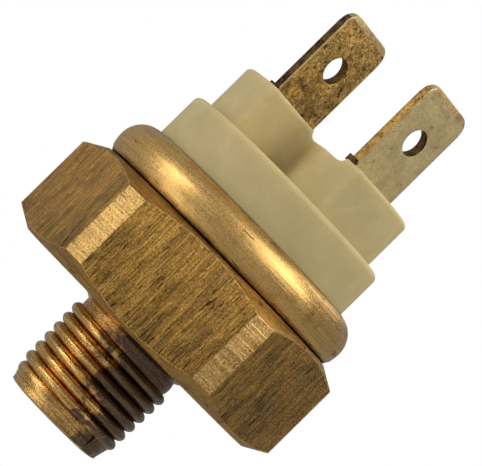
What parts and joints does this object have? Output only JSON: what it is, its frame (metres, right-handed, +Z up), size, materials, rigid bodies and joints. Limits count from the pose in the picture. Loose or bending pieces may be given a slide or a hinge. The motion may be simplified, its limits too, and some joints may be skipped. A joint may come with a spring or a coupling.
{
  "type": "pressure switch",
  "caption": "Screw-in brass pressure switch with a hexagon, a crimped ring, an insulating terminal base and two parallel blade terminals.",
  "frame": {"origin": "on the switch's axis, at the hexagon's underside, which seats on the port's face", "axes": "+Z up the axis towards the blade tips, the stud pointing down -Z; +X is the right blade's outward normal and Y runs along the blades' width"},
  "size_m": [0.0254, 0.0266, 0.0382],
  "materials": {
    "body": "turned and drawn, oiled",
    "crimp_ring": "rolled, semi-bright",
    "terminal_base": "moulded, natural cream",
    "blade_terminal_left": "stamped, darkened",
    "blade_terminal_right": "stamped, semi-matt",
    "fixed_contact_left": "silver contact face",
    "fixed_contact_right": "silver contact face",
    "contact_bridge": "rolled copper alloy",
    "moving_contact_left": "silver contact face",
    "moving_contact_right": "silver contact face",
    "plunger": "moulded phenolic",
    "pressure_plate": "stamped",
    "plunger_guide": "moulded phenolic",
    "diaphragm": "polyimide film",
    "diaphragm_seal": "moulded nitrile",
    "clamp_ring": "zinc-plated",
    "base_seal": "moulded nitrile",
    "spring_seat": "zinc-plated",
    "set_spring": "drawn spring wire",
    "spring_cap": "zinc-plated",
    "set_screw": "turned"
  },
  "bodies": {
    "switch_body": {"body": "body", "crimp_ring": "crimp_ring", "terminal_base": "terminal_base", "blade_terminal_left": "blade_terminal_left", "blade_terminal_right": "blade_terminal_right", "fixed_contact_left": "fixed_contact_left", "fixed_contact_right": "fixed_contact_right", "plunger_guide": "plunger_guide", "diaphragm": "diaphragm", "diaphragm_seal": "diaphragm_seal", "clamp_ring": "clamp_ring", "base_seal": "base_seal", "set_spring": "set_spring"},
    "pressure_plate": {"pressure_plate": "pressure_plate"},
    "plunger": {"plunger": "plunger"},
    "contact_bridge": {"contact_bridge": "contact_bridge", "moving_contact_left": "moving_contact_left", "moving_contact_right": "moving_contact_right", "spring_seat": "spring_seat"},
    "spring_cap": {"spring_cap": "spring_cap"},
    "set_screw": {"set_screw": "set_screw"}
  },
  "joints": [
    {"name": "plate_lift", "type": "slide", "parent": "switch_body", "child": "pressure_plate", "axis": [0, 0, 1], "range_m": [0, 0.0006], "stiffness_N_per_m": 4000, "springref_m": -0.0015, "deforming": ["diaphragm"]},
    {"name": "plunger_lift", "type": "slide", "parent": "switch_body", "child": "plunger", "axis": [0, 0, 1], "range_m": [0, 0.0006]},
    {"name": "bridge_lift", "type": "slide", "parent": "switch_body", "child": "contact_bridge", "axis": [0, 0, 1], "range_m": [0, 0.0006], "deforming": ["set_spring"]},
    {"name": "cap_travel", "type": "slide", "parent": "switch_body", "child": "spring_cap", "axis": [0, 0, -1], "range_m": [0, 0.00025]},
    {"name": "screw_turn", "type": "hinge", "parent": "spring_cap", "child": "set_screw", "pos_m": [0, 0, 0.0174], "axis": [0, 0, -1], "range_deg": [0, 180]}
  ],
  "couplings": [
    {"joint": "plunger_lift", "follows": "plate_lift", "ratio": 1},
    {"joint": "bridge_lift", "follows": "plate_lift", "ratio": 1},
    {"joint": "screw_turn", "follows": "cap_travel", "rad_per_m": 12566}
  ]
}
